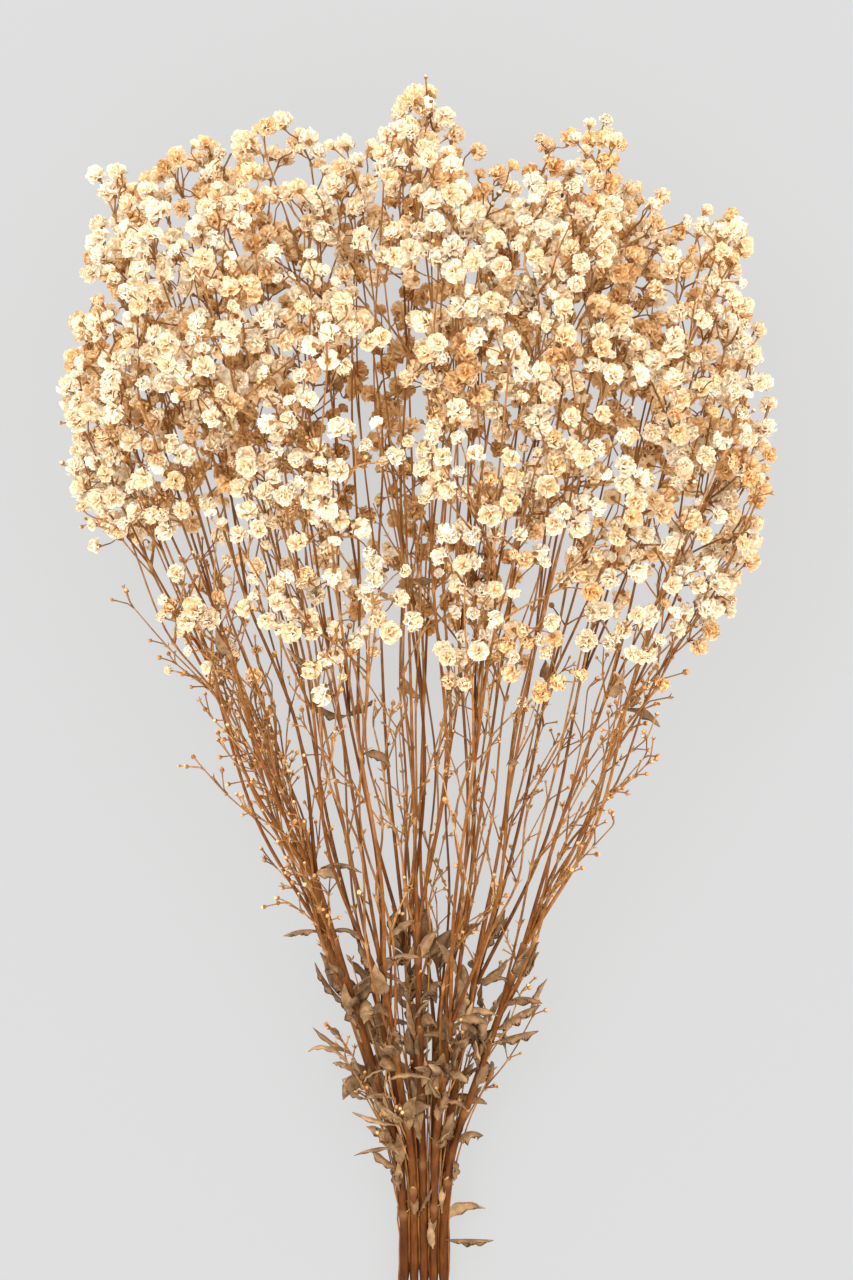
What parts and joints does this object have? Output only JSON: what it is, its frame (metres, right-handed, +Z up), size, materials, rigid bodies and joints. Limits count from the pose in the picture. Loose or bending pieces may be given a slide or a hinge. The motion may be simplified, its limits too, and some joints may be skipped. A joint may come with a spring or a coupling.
{
  "type": "dried gypsophila bunch",
  "caption": "Dried double-flowered gypsophila bunch lying down: thin golden-brown stems fan out of a twine tie into a wide head of small ruffled cream blossoms.",
  "frame": {"origin": "on the surface it lies on, under the middle of its bounding box", "axes": "+Y along the bunch from the cut ends to the head, +X across it, +Z up from the surface"},
  "size_m": [0.2782, 0.5282, 0.1776],
  "materials": {
    "dried_stem": "satin",
    "dried_leaf": "matt",
    "dried_blossom": "matt",
    "twine": "matt"
  },
  "bodies": {
    "root": {"stem_01": "dried_stem", "stem_02": "dried_stem", "stem_03": "dried_stem", "stem_04": "dried_stem", "stem_05": "dried_stem", "stem_06": "dried_stem", "stem_07": "dried_stem", "stem_08": "dried_stem", "stem_09": "dried_stem", "stem_10": "dried_stem", "tie": "twine"}
  },
  "joints": []
}
